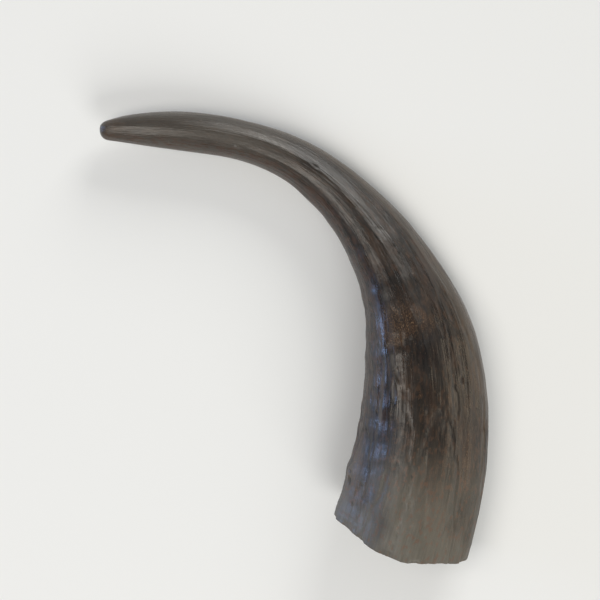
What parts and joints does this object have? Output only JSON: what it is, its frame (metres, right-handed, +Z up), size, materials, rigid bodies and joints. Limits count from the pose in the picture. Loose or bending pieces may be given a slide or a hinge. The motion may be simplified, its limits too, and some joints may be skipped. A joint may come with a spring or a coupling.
{
  "type": "buffalo horn",
  "caption": "Curved hollow water-buffalo horn, sawn off at the wide end and tapering to a blunt solid tip, lying on its flatter flank.",
  "frame": {"origin": "middle of the bounding box in plan, at the level of the surface that the horn lies on", "axes": "+X to the outside of the curve at the sawn end, +Y from the sawn end towards the tip's side, +Z up, away from the flank that the horn lies on"},
  "size_m": [0.2502, 0.2882, 0.0588],
  "materials": {
    "horn": "dried and scraped horn keratin, grey-brown with darker streaks, satin to semi-gloss"
  },
  "bodies": {
    "root": {"horn": "horn"}
  },
  "joints": []
}
